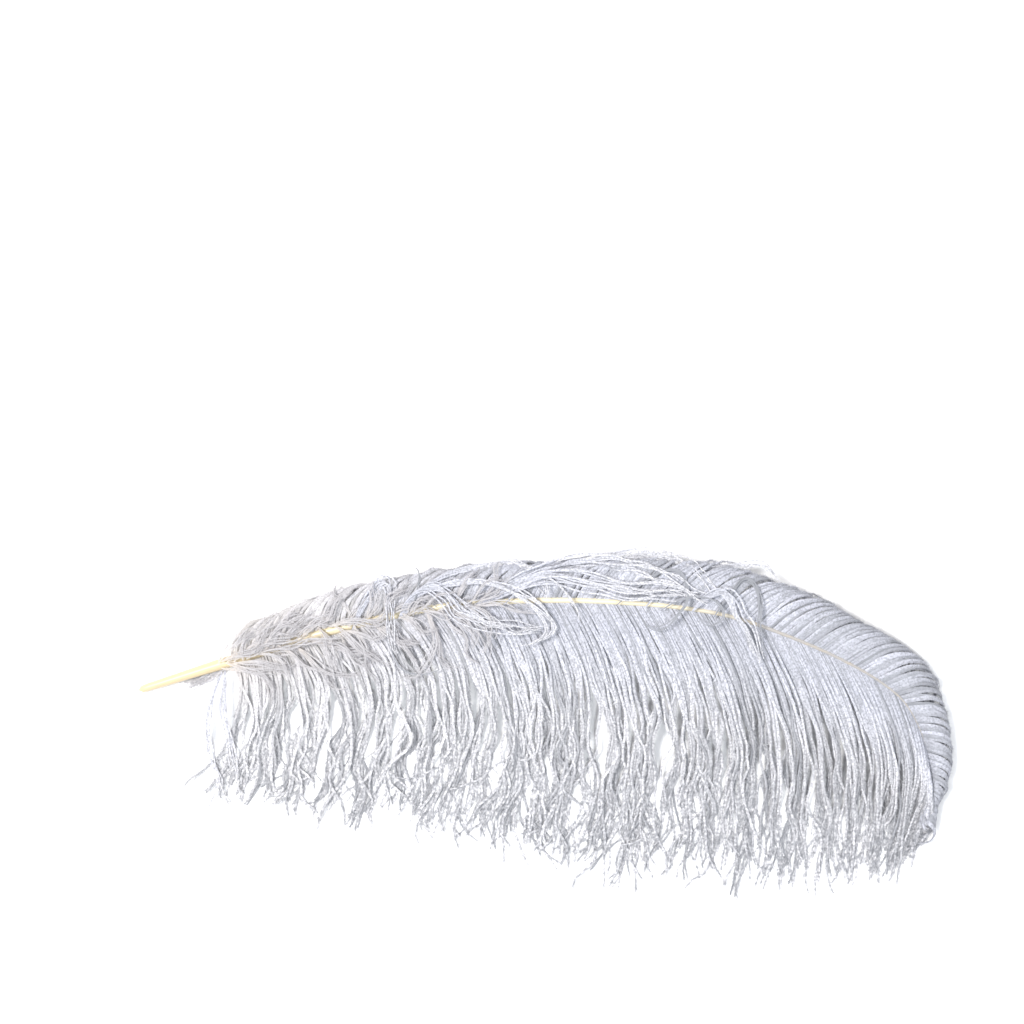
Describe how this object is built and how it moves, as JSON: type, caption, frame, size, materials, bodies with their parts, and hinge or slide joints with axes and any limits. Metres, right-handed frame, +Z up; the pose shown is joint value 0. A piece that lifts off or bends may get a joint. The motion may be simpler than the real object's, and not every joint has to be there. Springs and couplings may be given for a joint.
{
  "type": "ostrich feather",
  "caption": "White ostrich wing plume lying on a surface: a curved quill with loose drooping barbs in pointed locks and a rolled back edge.",
  "frame": {"origin": "centre of the feather's plan, on the surface it lies on", "axes": "+X from the bare quill to the nodding tip, +Y across the feather to its rolled edge, +Z up out of the surface, so the face of the feather looks up"},
  "size_m": [0.4964, 0.2154, 0.0442],
  "materials": {
    "barbs": "soft matte fibre, cool white",
    "shaft": "satin horn, pale cream yellow",
    "down": "matte fluff, warm white"
  },
  "bodies": {
    "root": {"feather": "barbs"}
  },
  "joints": []
}
